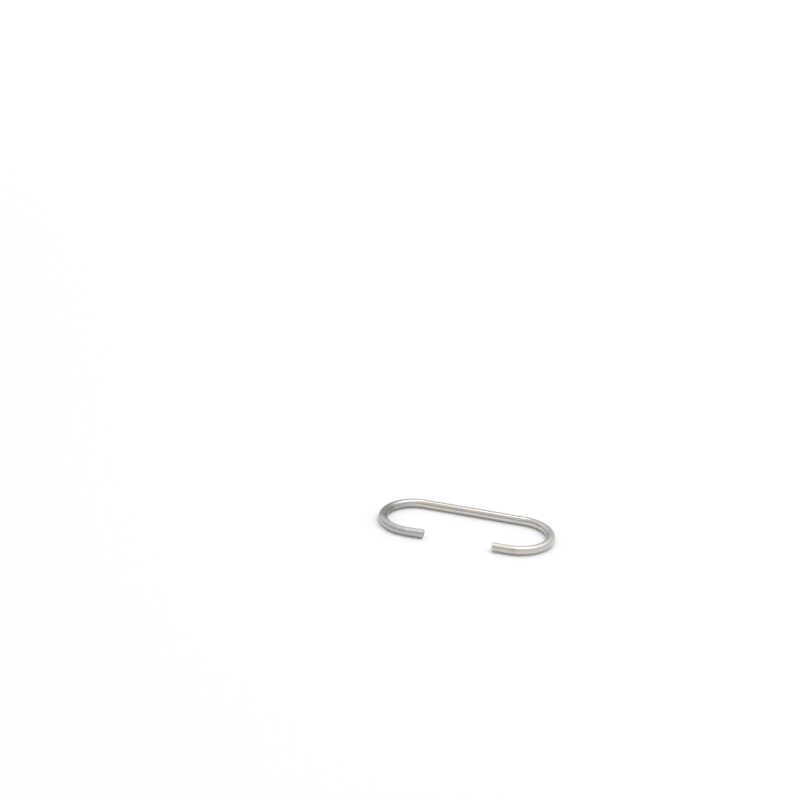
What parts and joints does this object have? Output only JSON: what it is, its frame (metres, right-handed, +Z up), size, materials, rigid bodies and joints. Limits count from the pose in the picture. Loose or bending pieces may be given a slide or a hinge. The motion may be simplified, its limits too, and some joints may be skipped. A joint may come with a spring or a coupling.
{
  "type": "c-hook",
  "caption": "Round steel wire bent flat into a C: straight spine, half-round bend at each end and two short tails facing each other.",
  "frame": {"origin": "centre of the bounding box in plan, on the surface that the hook lies on", "axes": "+X along the spine towards the right bend, +Y from the mouth towards the spine, +Z up, out of the plane that the hook is bent in"},
  "size_m": [0.0406, 0.0174, 0.002],
  "materials": {
    "wire": "bright drawn stainless wire with fine drawing lines"
  },
  "bodies": {
    "root": {"c_hook": "wire"}
  },
  "joints": []
}
